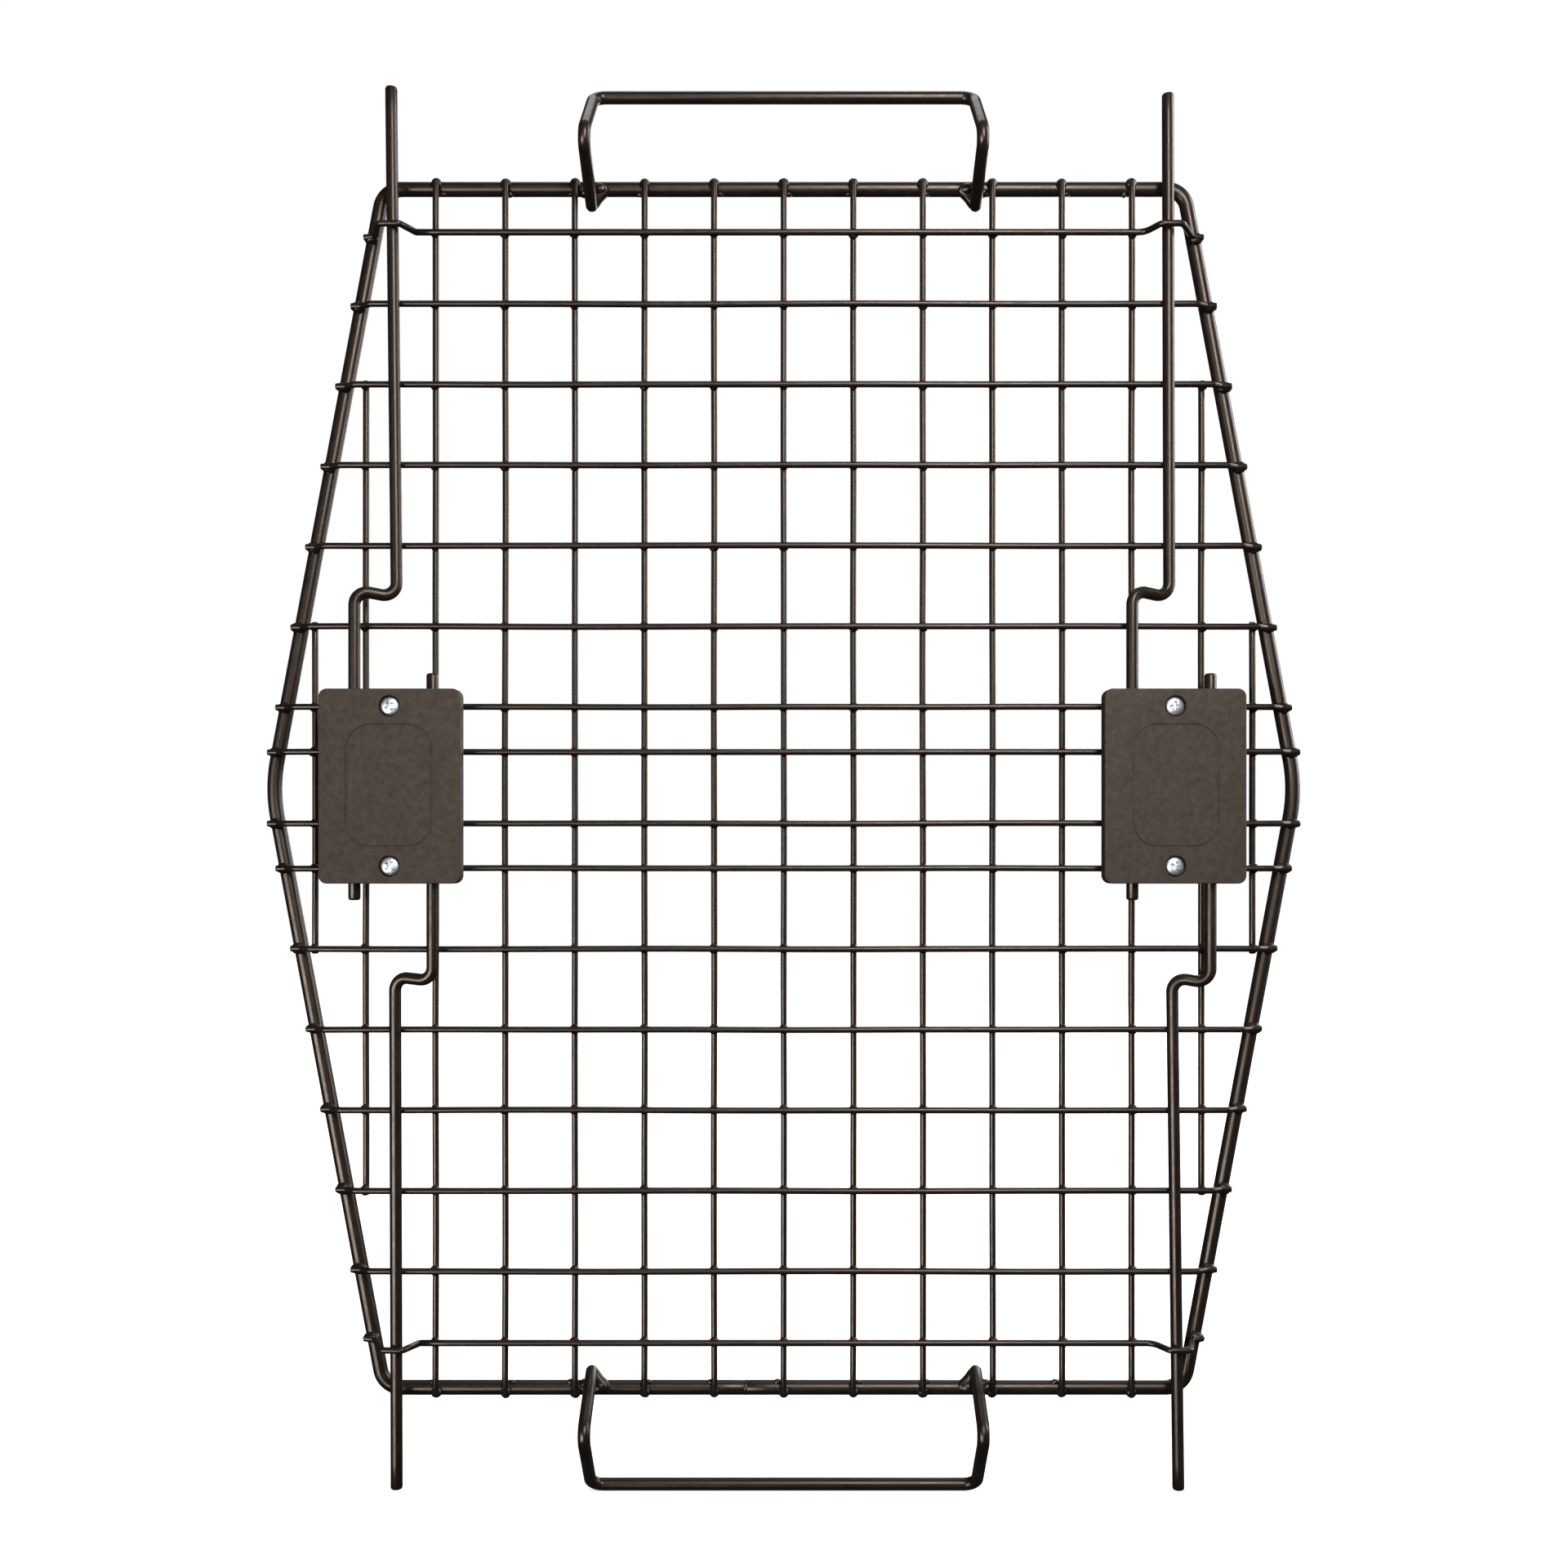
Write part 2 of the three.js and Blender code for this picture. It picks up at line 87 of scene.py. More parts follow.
GUIDE_HEIGHT = 201.8 * MM
GUIDE_END_DROP = 1 * MM     # its ends sit this much nearer the middle of the door
GUIDE_LANDING = 1.6 * MM    # from the hoop's inner edge to where a guide wire starts forwards
GUIDE_BENDS = [0, 1.6 * MM, 2.2 * MM, 2.2 * MM, 5 * MM]     # at each corner from the hoop inwards
HUMP_RISE = 0.4 * MM
HUMP_OUTER_SHOULDER = 4.4 * MM      # distances across from the slide rod under the hump
HUMP_INNER_SHOULDER = 3.2 * MM
HUMP_INNER_FOOT = 7.6 * MM

CRANK_HEIGHT = 68.4 * MM    # from the middle of the door to a crank's long-leg end
ROD_BEND = 4.6 * MM
ROD_EASE = 0.8 * MM         # rounding of a rod's two ends
CRANK_X = {                 # where each rod's long leg starts, at its crank
    "left_upper": -139.7 * MM,
    "right_upper": 139.2 * MM,
    "left_lower": -140.3 * MM,
    "right_lower": 140.2 * MM,
}
CRANK_RISE = {              # how much nearer the rod's tip the box leg's end of the crank is
    "left_upper": 2.2 * MM,
    "right_upper": 2.2 * MM,
    "left_lower": 1.2 * MM,
    "right_lower": 2.2 * MM,
}

LOOP_FOOT = (70.6 * MM, 213.7 * MM, -1.5 * MM)  # (x, height, depth) of a stop loop's corners
LOOP_KINK = (69.9 * MM, 227 * MM, 30.9 * MM)
LOOP_CROSSBAR_X = {"top_stop_loop": 69.1 * MM, "bottom_stop_loop": 70.1 * MM}
LOOP_CROSSBAR_DEPTH = 6 * MM
LOOP_BEND = 4.6 * MM
LOOP_EASE = 1.2 * MM

UPRIGHTS = [f"upright_wire_{i:02d}" for i in range(1, 12)]
SHORT_UPRIGHTS = [f"{side}_short_upright_{i}" for side in ("left", "right") for i in (1, 2)]
CROSS_WIRES = [f"{half}_cross_wire_{i}" for half in ("upper", "lower") for i in range(1, 8)]
SIDES = ("left", "right")
UP = {"upper": 1, "lower": -1}      # the way from the middle of the door to each half


def low(node):
    return Vector(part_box(node)[0])


def high(node):
    return Vector(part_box(node)[1])


def centre(node):
    return (low(node) + high(node)) / 2


HOOP_Y = centre("hoop").y
MOUNTS = {mount["name"]: Vector(mount["pos_m"]) for mount in frame["record"]["mounts"]}


def at(x, z, depth):
    """A point by its place across, its height, and its depth forwards of the hoop's centreline."""
    return Vector((x, HOOP_Y - depth, z))


# ------------------------------------------------------------------ materials


class Surface:
    """A Principled material whose procedural textures all read object coordinates."""

    def __init__(self, name, roughness, metallic=0.0, specular=0.5):
        self.material = bpy.data.materials.new(name)
        self.material.use_nodes = True
        self.tree = self.material.node_tree
        self.shader = self.tree.nodes["Principled BSDF"]
        self.shader.inputs["Roughness"].default_value = roughness
        self.shader.inputs["Metallic"].default_value = metallic
        self.shader.inputs["Specular IOR Level"].default_value = specular
        self.place = self.tree.nodes.new("ShaderNodeTexCoord").outputs["Object"]

    def node(self, kind, **inputs):
        made = self.tree.nodes.new(kind)
        for name, value in inputs.items():
            made.inputs[name.replace("_", " ")].default_value = value
        return made

    def link(self, source, target):
        self.tree.links.new(source, target)

    def noise(self, scale, detail=3.0, roughness=0.5, stretch=None):
        """Noise value with features about 1/scale metres wide; stretch squeezes it along x, y or z."""
        texture = self.node("ShaderNodeTexNoise", Scale=scale, Detail=detail, Roughness=roughness)
        if stretch is None:
            self.link(self.place, texture.inputs["Vector"])
        else:
            mapping = self.node("ShaderNodeMapping", Scale=stretch)
            self.link(self.place, mapping.inputs["Vector"])
            self.link(mapping.outputs["Vector"], texture.inputs["Vector"])
        return texture.outputs["Fac"]

    def remap(self, value, from_low, from_high, to_low, to_high):
        ramp = self.node("ShaderNodeMapRange")
        limits = (from_low, from_high, to_low, to_high)
        for socket, limit in zip(("From Min", "From Max", "To Min", "To Max"), limits):
            ramp.inputs[socket].default_value = limit
        self.link(value, ramp.inputs["Value"])
        return ramp.outputs["Result"]

    def mix(self, factor, first, second):
        """Mixes two colours; each is a plain colour or another node's output."""
        mixer = self.tree.nodes.new("ShaderNodeMix")
        mixer.data_type = "RGBA"
        self.link(factor, mixer.inputs["Factor"])
        sockets = [socket for socket in mixer.inputs if socket.type == "RGBA"]
        for socket, colour in zip(sockets, (first, second)):
            if isinstance(colour, tuple):
                socket.default_value = (*colour, 1.0)
            else:
                self.link(colour, socket)
        return next(out for out in mixer.outputs if out.type == "RGBA")

    def colour(self, output):
        self.link(output, self.shader.inputs["Base Color"])

    def roughness(self, output):
        self.link(output, self.shader.inputs["Roughness"])

    def bumps(self, *layers):
        """Chains (value, strength, height in metres) bumps into the shader's normal."""
        normal = None
        for value, strength, height in layers:
            bump = self.node("ShaderNodeBump", Strength=strength, Distance=height)
            self.link(value, bump.inputs["Height"])
            if normal is not None:
                self.link(normal, bump.inputs["Normal"])
            normal = bump.outputs["Normal"]
        self.link(normal, self.shader.inputs["Normal"])


def powder_coat(name, deep, pale, worn):
    """Satin dark brown coat on steel: slow tone drift, fine orange peel and a few rubbed specks."""
    surface = Surface(name, roughness=0.34, specular=0.5)
    surface.shader.inputs["Specular Tint"].default_value = (1.0, 0.82, 0.7, 1.0)
    drift = surface.remap(surface.noise(55, detail=4), 0.35, 0.65, 0, 1)
    specks = surface.remap(surface.noise(900, detail=2, roughness=0.6), 0.7, 0.78, 0, 0.5)
    surface.colour(surface.mix(specks, surface.mix(drift, deep, pale), worn))
    surface.roughness(surface.remap(surface.noise(260, detail=3), 0.3, 0.7, 0.3, 0.4))
    surface.bumps(
        (surface.noise(1300, detail=2), 0.15, 0.03 * MM),
        (surface.noise(240, detail=3), 0.2, 0.08 * MM),
    )
    return surface.material


def moulded_plastic(name, deep, pale):
    """Matte moulded shell: blotchy grey-brown with a spark-eroded grain."""
    surface = Surface(name, roughness=0.66, specular=0.3)
    surface.shader.inputs["Specular Tint"].default_value = (1.0, 0.85, 0.72, 1.0)
    blotches = surface.remap(surface.noise(420, detail=6, roughness=0.72), 0.32, 0.68, 0, 1)
    scuffs = surface.remap(surface.noise(420, detail=3, stretch=(1, 1, 0.25)), 0.66, 0.8, 0, 0.4)
    dusty = (0.11, 0.09, 0.075)
    surface.colour(surface.mix(scuffs, surface.mix(blotches, deep, pale), dusty))
    surface.roughness(surface.remap(surface.noise(330, detail=3), 0.3, 0.7, 0.58, 0.76))
    surface.bumps(
        (surface.noise(1700, detail=3), 0.6, 0.08 * MM),
        (surface.noise(190, detail=4), 0.25, 0.2 * MM),
    )
    return surface.material


def plated_steel(name, deep, pale, roughness, streaks=(1, 1, 1)):
    """Bare or plated steel with smudges and fine drawn or turned marks."""
    surface = Surface(name, roughness=roughness, metallic=1.0)
    smudges = surface.remap(surface.noise(700, detail=4, roughness=0.65), 0.35, 0.65, 0, 1)
    surface.colour(surface.mix(smudges, deep, pale))
    marks = surface.noise(1800, detail=2, stretch=streaks)
    surface.roughness(surface.remap(marks, 0.3, 0.7, roughness - 0.08, roughness + 0.12))
    surface.bumps((marks, 0.3, 0.03 * MM))
    return surface.material


def studio_paper(name):
    """Pale paper, lit through from below so that it stays white far from the lamps."""
    surface = Surface(name, roughness=0.9, specular=0.1)
    tone = surface.remap(surface.noise(14, detail=3), 0.3, 0.7, 0, 1)
    surface.colour(surface.mix(tone, (0.93, 0.93, 0.93), (0.97, 0.97, 0.97)))
    length = surface.tree.nodes.new("ShaderNodeVectorMath")
    length.operation = "LENGTH"
    surface.link(surface.place, length.inputs[0])
    surface.shader.inputs["Emission Color"].default_value = (1, 1, 1, 1)
    glow = surface.remap(length.outputs["Value"], 0.45, 1.6, 0.6, 1.02)
    surface.link(glow, surface.shader.inputs["Emission Strength"])
    surface.bumps((surface.noise(900, detail=2), 0.1, 0.05 * MM))
    return surface.material


RUBBED = (0.05, 0.04, 0.032)    # specks where the coat is rubbed
COAT = powder_coat("coated_wire", (0.008, 0.0054, 0.004), (0.0145, 0.01, 0.0077), RUBBED)
WELD_COAT = powder_coat("coated_weld", (0.007, 0.0048, 0.0036), (0.0125, 0.0088, 0.0068), RUBBED)
SHELL = moulded_plastic("latch_shell", (0.032, 0.025, 0.0199), (0.0595, 0.0457, 0.0366))
ZINC = plated_steel("zinc_screw", (0.56, 0.575, 0.59), (0.86, 0.88, 0.9), 0.48)
SPRING_STEEL = plated_steel("spring_steel", (0.32, 0.32, 0.33), (0.55, 0.55, 0.56), 0.34, (1, 1, 0.2))


# ------------------------------------------------------------------ making and placing pieces


def add_piece(name, mesh, material, body, nodes):
    """Puts a finished mesh in the scene as the piece that stands for these CAD nodes, if any."""
    piece = bpy.data.objects.new(name, mesh)
    bpy.context.collection.objects.link(piece)
    mesh.materials.clear()
    mesh.materials.append(material)
    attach(piece, body)
    if nodes:
        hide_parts(*nodes)
    return piece


def smooth(mesh):
    """The same mesh, with all its faces shaded smooth."""
    mesh.polygons.foreach_set("use_smooth", [True] * len(mesh.polygons))
    return mesh


def bend_points(corners, bends, step=9 * MM, arc_steps=8):
    """Points along a bent wire: straight runs cut every step, and an arc at each inner corner."""
    if not isinstance(bends, (list, tuple)):
        bends = [bends] * len(corners)
    points = [corners[0].copy()]
    for index in range(1, len(corners)):
        corner = corners[index]
        last = index == len(corners) - 1
        arriving = (corner - corners[index - 1]).normalized()
        turn = 0.0 if last else arriving.angle(corners[index + 1] - corner)
        run_end = corner - arriving * bends[index] * math.tan(turn / 2)
        run_start = points[-1].copy()
        cuts = max(1, round((run_end - run_start).length / step))
        points += [run_start.lerp(run_end, cut / cuts) for cut in range(1, cuts + 1)]
        if last:
            break
        leaving = (corners[index + 1] - corner).normalized()
        inward = (leaving - arriving * arriving.dot(leaving)).normalized()
        for i in range(1, arc_steps + 1):
            angle = turn * i / arc_steps
            along = arriving * math.sin(angle) + inward * (1 - math.cos(angle))
            points.append(run_end + along * bends[index])
    return points


def wander(points, amount, seed):
    """Moves points sideways by a slow noise, as drawn wire is never quite straight."""
    strayed = []
    for point in points:
        drift = noise.noise_vector(point * 14 + Vector((seed * 3.7, seed * 1.3, 0)))
        strayed.append(point + drift * amount)
    return strayed


def directions(points):
    """The way that a wire runs at each of its points."""
    ends = [points[0], *points, points[-1]]
    return [(ends[i + 2] - ends[i]).normalized() for i in range(len(points))]


def sweep(name, points, radius, sides=16, tip=0.35 * MM):
    """Round wire along points, with its two ends eased by tip."""
    heads = directions(points)
    stations = []
    for offset, shrink in ((0.0, 1.0), (0.3, 0.3), (1.0, 0.0)):
        stations.append((points[0] + heads[0] * tip * offset, heads[0], radius - tip * shrink))
    stations += [(point, head, radius) for point, head in zip(points[1:-1], heads[1:-1])]
    for offset, shrink in ((1.0, 0.0), (0.3, 0.3), (0.0, 1.0)):
        stations.append((points[-1] - heads[-1] * tip * offset, heads[-1], radius - tip * shrink))
    across = stations[0][1].orthogonal().normalized()
    previous = stations[0][1]
    verts, faces = [], []
    for point, head, ring_radius in stations:
        across = previous.rotation_difference(head) @ across
        across = (across - head * across.dot(head)).normalized()
        previous = head
        up = head.cross(across)
        for side in range(sides):
            angle = 2 * math.pi * side / sides
            verts.append(point + (across * math.cos(angle) + up * math.sin(angle)) * ring_radius)
    for ring in range(len(stations) - 1):
        for side in range(sides):
            a = ring * sides + side
            b = ring * sides + (side + 1) % sides
            faces.append((a, b, b + sides, a + sides))
    faces.append(tuple(reversed(range(sides))))
    faces.append(tuple(range(len(verts) - sides, len(verts))))
    mesh = bpy.data.meshes.new(name)
    mesh.from_pydata(verts, [], faces)
    return smooth(mesh)


def lathe(name, profile, sides=40):
    """Closed solid turned about +Z from (radius, height) pairs; radius 0 closes it on the axis."""
    builder = bmesh.new()
    rings = []
    for radius, height in profile:
        count = 1 if radius == 0 else sides
        angles = [2 * math.pi * i / sides for i in range(count)]
        places = [(radius * math.cos(a), radius * math.sin(a), height) for a in angles]
        rings.append([builder.verts.new(place) for place in places])
    closed = profile[0][0] > 0
    pairs = list(zip(rings, rings[1:])) + ([(rings[-1], rings[0])] if closed else [])
    for lower, upper in pairs:
        for i in range(sides):
            corners = [lower[i % len(lower)], lower[(i + 1) % len(lower)]]
            corners += [upper[(i + 1) % len(upper)], upper[i % len(upper)]]
            unique = list(dict.fromkeys(corners))
            if len(unique) > 2:
                builder.faces.new(unique)
    bmesh.ops.recalc_face_normals(builder, faces=builder.faces)
    mesh = bpy.data.meshes.new(name)
    builder.to_mesh(mesh)
    builder.free()
    return smooth(mesh)


def moved(mesh, matrix):
    """A copy of the mesh, put elsewhere by the matrix."""
    copy = mesh.copy()
    copy.transform(matrix)
    return copy


def finished(mesh, modifiers):
    """The mesh after these (kind, settings) modifiers, as a new mesh."""
    helper = bpy.data.objects.new("helper", mesh)
    bpy.context.collection.objects.link(helper)
    for kind, settings in modifiers:
        modifier = helper.modifiers.new(kind, kind)
        for key, value in settings.items():
            setattr(modifier, key, value)
    bpy.context.view_layer.update()
    evaluated = helper.evaluated_get(bpy.context.evaluated_depsgraph_get())
    result = bpy.data.meshes.new_from_object(evaluated)
    bpy.data.objects.remove(helper)
    return result


def cut_by(mesh, cutters, operation="DIFFERENCE"):
    """The mesh with each cutter mesh taken away, or joined on."""
    for cutter in cutters:
        tool = bpy.data.objects.new("tool", cutter)
        bpy.context.collection.objects.link(tool)
        settings = {"object": tool, "operation": operation, "solver": "EXACT"}
        mesh = finished(mesh, [("BOOLEAN", settings)])
        bpy.data.objects.remove(tool)
    return mesh


def rounded_outline(width, height, corner, steps=9):
    """Points of a rounded rectangle in x and z, anticlockwise seen from the front."""
    points = []
    for quarter, (sx, sz) in enumerate(((1, -1), (1, 1), (-1, 1), (-1, -1))):
        start = quarter * math.pi / 2 - math.pi / 2
        cx, cz = sx * (width / 2 - corner), sz * (height / 2 - corner)
        for i in range(steps + 1):
            angle = start + math.pi / 2 * i / steps
            points.append((cx + corner * math.cos(angle), cz + corner * math.sin(angle)))
    return points


def loft(name, layers):
    """Closed solid through layers of (outline, depth); all outlines have the same point count."""
    builder = bmesh.new()
    rings = [[builder.verts.new((x, -depth, z)) for x, z in outline] for outline, depth in layers]
    for back, front in zip(rings, rings[1:]):
        count = len(back)
        for i in range(count):
            builder.faces.new((back[i], back[(i + 1) % count], front[(i + 1) % count], front[i]))
    builder.faces.new(rings[0])
    builder.faces.new(rings[-1])
    bmesh.ops.recalc_face_normals(builder, faces=builder.faces)
    mesh = bpy.data.meshes.new(name)
    builder.to_mesh(mesh)
    builder.free()
    return mesh


# ------------------------------------------------------------------ hoop, wires and stop loops


def make_hoop():
    top = high("hoop").z - HOOP_RADIUS
    corners = [
        at(HOOP_JOINT_X - GAP / 2, -top, 0),
        at(-HOOP_NARROW, -top, 0),
        at(-HOOP_WIDE, 0, 0),
        at(-HOOP_NARROW, top, 0),
        at(HOOP_NARROW, top, 0),
        at(HOOP_WIDE, 0, 0),
        at(HOOP_NARROW, -top, 0),
        at(HOOP_JOINT_X + GAP / 2, -top, 0),
    ]
    corner, middle = HOOP_CORNER_BEND, HOOP_MIDDLE_BEND
    points = bend_points(corners, [0, corner, middle, corner, corner, middle, corner, 0], arc_steps=12)
    mesh = sweep("hoop_bar", points, HOOP_RADIUS, sides=24)
    add_piece("hoop_bar", mesh, COAT, "door", ["hoop"])


def make_uprights():
    for seed, node in enumerate(UPRIGHTS + SHORT_UPRIGHTS):
        x = centre(node).x
        points = bend_points([at(x, low(node).z, UPRIGHT_DEPTH), at(x, high(node).z, UPRIGHT_DEPTH)], 0)
        mesh = sweep(f"{node}_bar", wander(points, WIRE_WANDER, seed + 10), MESH_RADIUS, sides=12)
        add_piece(f"{node}_bar", mesh, COAT, "door", [node])


def make_cross_wires():
    for seed, node in enumerate(CROSS_WIRES):
        z = centre(node).z
        end = high(node).x
        side = end - HOOP_RADIUS
        right = [
            at(end, z, UPRIGHT_DEPTH),
            at(side - JOGGLE_START, z, UPRIGHT_DEPTH),
            at(side - JOGGLE_END, z, CROSS_DEPTH),
        ]
        left = [Vector((-p.x, p.y, p.z)) for p in reversed(right)]
        points = bend_points(right + left, JOGGLE_BEND, arc_steps=4)
        mesh = sweep(f"{node}_bar", wander(points, WIRE_WANDER, seed + 40), MESH_RADIUS, sides=12)
        add_piece(f"{node}_bar", mesh, COAT, "door", [node])


def rod_x(side, half, z):
    """Where a slide rod's long leg is, across the door, at a height."""
    tip = MOUNTS[f"{side}_{half}_rod_tip"]
    crank_x = CRANK_X[f"{side}_{half}"]
    along = (abs(z) - CRANK_HEIGHT) / (abs(tip.z) - CRANK_HEIGHT)
    return crank_x + (tip.x - crank_x) * along


def make_guide_wires():
    for node, half in (("top_guide_wire", "upper"), ("bottom_guide_wire", "lower")):
        up = UP[half]
        z = up * GUIDE_HEIGHT
        end = high(node).x
        landing = end - HOOP_RADIUS - GUIDE_LANDING
        humps = []
        for side, out in (("right", 1), ("left", -1)):
            rod = rod_x(side, half, z)
            humps.append([
                at(out * end, z - up * GUIDE_END_DROP, UPRIGHT_DEPTH),
                at(out * landing, z - up * GUIDE_END_DROP / 2, UPRIGHT_DEPTH),
                at(rod + out * HUMP_OUTER_SHOULDER, z + up * HUMP_RISE, HUMP_DEPTH),
                at(rod - out * HUMP_INNER_SHOULDER, z + up * HUMP_RISE, HUMP_DEPTH),
                at(rod - out * HUMP_INNER_FOOT, z, CROSS_DEPTH),
            ])
        points = bend_points(humps[0] + humps[1][::-1], GUIDE_BENDS * 2, arc_steps=6)
        mesh = sweep(f"{node}_bar", points, MESH_RADIUS, sides=12)
        add_piece(f"{node}_bar", mesh, COAT, "door", [node])


def make_stop_loops():
    for node, up in (("top_stop_loop", 1), ("bottom_stop_loop", -1)):
        height = max(high(node).z, -low(node).z) - LOOP_RADIUS
        leg = [LOOP_FOOT, LOOP_KINK, (LOOP_CROSSBAR_X[node], height, LOOP_CROSSBAR_DEPTH)]
        left = [at(-x, up * height, depth) for x, height, depth in leg]
        right = [at(x, up * height, depth) for x, height, depth in reversed(leg)]
        points = bend_points(left + right, LOOP_BEND, arc_steps=10)
        mesh = sweep(f"{node}_bar", points, LOOP_RADIUS, sides=20, tip=LOOP_EASE)
        add_piece(f"{node}_bar", mesh, COAT, "door", [node])


# ------------------------------------------------------------------ welds


NUGGET_RADIUS = 1.75 * MM
NUGGET_DEPTH = 1.5 * MM


class Welds:
    """Gathers small lumpy beads into one mesh."""

    def __init__(self):
        self.builder = bmesh.new()
        self.count = 0

    def bead(self, place, size, fine=3, lumpy=0.12):
        """One bead: an ellipsoid of half sizes (x, depth, z), with a lumpy skin."""
        self.count += 1
        matrix = Matrix.Translation(place) @ Matrix.Diagonal((size[0], size[1], size[2], 1))
        made = bmesh.ops.create_icosphere(self.builder, subdivisions=fine, radius=1, matrix=matrix)
        for vert in made["verts"]:
            outward = vert.co - place
            swell = noise.noise(outward * 900 + Vector((self.count * 5.3, 0, 0)))   # differs per bead
            vert.co = place + outward * (1 + lumpy * swell)

    def finish(self, name):
        mesh = bpy.data.meshes.new(name)
        self.builder.to_mesh(mesh)
        self.builder.free()
        add_piece(name, smooth(mesh), WELD_COAT, "door", [])


def make_mesh_welds():
    """A nugget wherever a cross wire is welded onto an upright."""
    welds = Welds()
    heights = [centre(node).z for node in CROSS_WIRES] + [GUIDE_HEIGHT, -GUIDE_HEIGHT]
    middle = (UPRIGHT_DEPTH + CROSS_DEPTH) / 2
    for node in UPRIGHTS + SHORT_UPRIGHTS:
        for z in heights:
            if abs(z) < high(node).z:
                grow = random.uniform(0.92, 1.1)
                size = (NUGGET_RADIUS * grow, NUGGET_DEPTH, NUGGET_RADIUS * grow)
                welds.bead(at(centre(node).x, z, middle), size)
    welds.finish("grille_welds")


def make_hoop_welds():
    """Beads and drips where the wires lie on the hoop, and the joint that closes the hoop."""
    welds = Welds()
    bar = high("hoop").z - HOOP_RADIUS
    depth = (HOOP_RADIUS + UPRIGHT_DEPTH) / 2 - 0.3 * MM
    for node in UPRIGHTS:
        x = centre(node).x
        for up in (1, -1):
            size = (random.uniform(1.8, 2.1) * MM, 1.7 * MM, random.uniform(1.9, 2.2) * MM)
            welds.bead(at(x, up * (bar + 0.7 * MM), depth), size, lumpy=0.06)
            drip = random.uniform(1.2, 2.2) * MM * random.choice((1, -1))
            size = (random.uniform(1.0, 1.7) * MM, 1.0 * MM, random.uniform(0.8, 1.3) * MM)
            welds.bead(at(x + drip, up * (bar - 2.3 * MM), 1.1 * MM), size, fine=2, lumpy=0.1)
    ends = [(high(node).x, centre(node).z) for node in CROSS_WIRES]
    guide_end = GUIDE_HEIGHT - GUIDE_END_DROP
    ends += [(high("top_guide_wire").x, guide_end), (high("bottom_guide_wire").x, -guide_end)]
    for reach, z in ends:
        for out in (1, -1):
            size = (random.uniform(2.7, 3.1) * MM, 1.9 * MM, random.uniform(1.8, 2.2) * MM)
            welds.bead(at(out * (reach - HOOP_RADIUS), z, depth), size, lumpy=0.16)
    welds.bead(at(HOOP_JOINT_X, -bar, 0), (2.4 * MM, 2.72 * MM, 2.72 * MM), lumpy=0.05)
    welds.finish("hoop_welds")


GUSSET_EDGE = (             # millimetres inwards from the leg, and down from the bar
    (4.6, -0.9), (6.2, -0.5), (7.1, 0.6), (6.9, 1.8), (6.0, 2.8),
    (4.9, 3.7), (4.0, 4.6), (3.3, 5.4), (2.7, 6.2), (2.0, 6.8),
)
GUSSET_SLICES = ((-1.5, 0.75), (-1.1, 0.94), (0, 1.0), (1.1, 0.94), (1.5, 0.75))   # (depth in mm, scale)


def gusset(builder, leg, inward, up, bar):
    """Concave web of weld metal in the corner between a stop loop's leg and the hoop bar."""
    root = (leg - inward * 0.5 * MM, bar + 1.0 * MM)
    outline = [(leg + inward * across * MM, bar - down * MM) for across, down in GUSSET_EDGE]
    outline = [root, *outline, (root[0], outline[-1][1])]
    middle = (leg + inward * 1.5 * MM, bar - 2 * MM)
    rings = []
    for offset, shrink in GUSSET_SLICES:
        ring = []
        for x, z in outline:
            x, z = middle[0] + (x - middle[0]) * shrink, middle[1] + (z - middle[1]) * shrink
            lean = 1.7 * MM + (z - bar) * 0.3      # follows the leg, which leans forwards
            ring.append(builder.verts.new(at(x, up * z, offset * MM + lean)))
        rings.append(ring)
    for back, front in zip(rings, rings[1:]):
        for i in range(len(back)):
            j = (i + 1) % len(back)
            builder.faces.new((back[i], back[j], front[j], front[i]))
    builder.faces.new(rings[0])
    builder.faces.new(rings[-1])


def make_loop_welds():
    """At each loop leg: a web on the inner side, a bead on the bar's front and a fillet outside."""
    welds = Welds()
    bar = high("hoop").z - HOOP_RADIUS
    leg = LOOP_FOOT[0]
    for up in (1, -1):
        for out in (1, -1):
            gusset(welds.builder, out * leg, -out, up, bar)
            bead_size = (2.6 * MM, 1.9 * MM, 2.2 * MM)
            welds.bead(at(out * (leg - 3.4 * MM), up * (bar - 0.6 * MM), 1.7 * MM), bead_size)
            fillet_size = (2.0 * MM, 1.8 * MM, 1.8 * MM)
            welds.bead(at(out * (leg + 2.6 * MM), up * (bar - 1.6 * MM), 0.8 * MM), fillet_size)
    bmesh.ops.recalc_face_normals(welds.builder, faces=welds.builder.faces)
    welds.finish("loop_welds")


# ------------------------------------------------------------------ slide rods and springs


def make_rods():
    for side in SIDES:
        for half, up in UP.items():
            node = f"{side}_{half}_rod"
            tip = MOUNTS[f"{side}_{half}_rod_tip"]
            box_x = centre(f"{side}_{half}_collar").x
            stub = low(node).z if half == "upper" else high(node).z
            corners = [
                at(tip.x, tip.z, LONG_ROD_DEPTH),
                at(CRANK_X[f"{side}_{half}"], up * CRANK_HEIGHT, LONG_ROD_DEPTH),
                at(box_x, up * (CRANK_HEIGHT + CRANK_RISE[f"{side}_{half}"]), BOX_ROD_DEPTH),
                at(box_x, stub, BOX_ROD_DEPTH),
            ]
            points = bend_points(corners, ROD_BEND, arc_steps=10)
            mesh = sweep(f"{node}_bar", points, ROD_RADIUS, sides=20, tip=ROD_EASE)
            add_piece(f"{node}_bar", mesh, COAT, f"{side}_{half}_slide_rod", [node])


COLLAR_PROFILE = (          # (radius, height) in millimetres, with eased outer corners
    (2.45, 0), (4.0, 0), (4.2, 0.2), (4.2, 3.0), (4.0, 3.2), (2.45, 3.2),
)


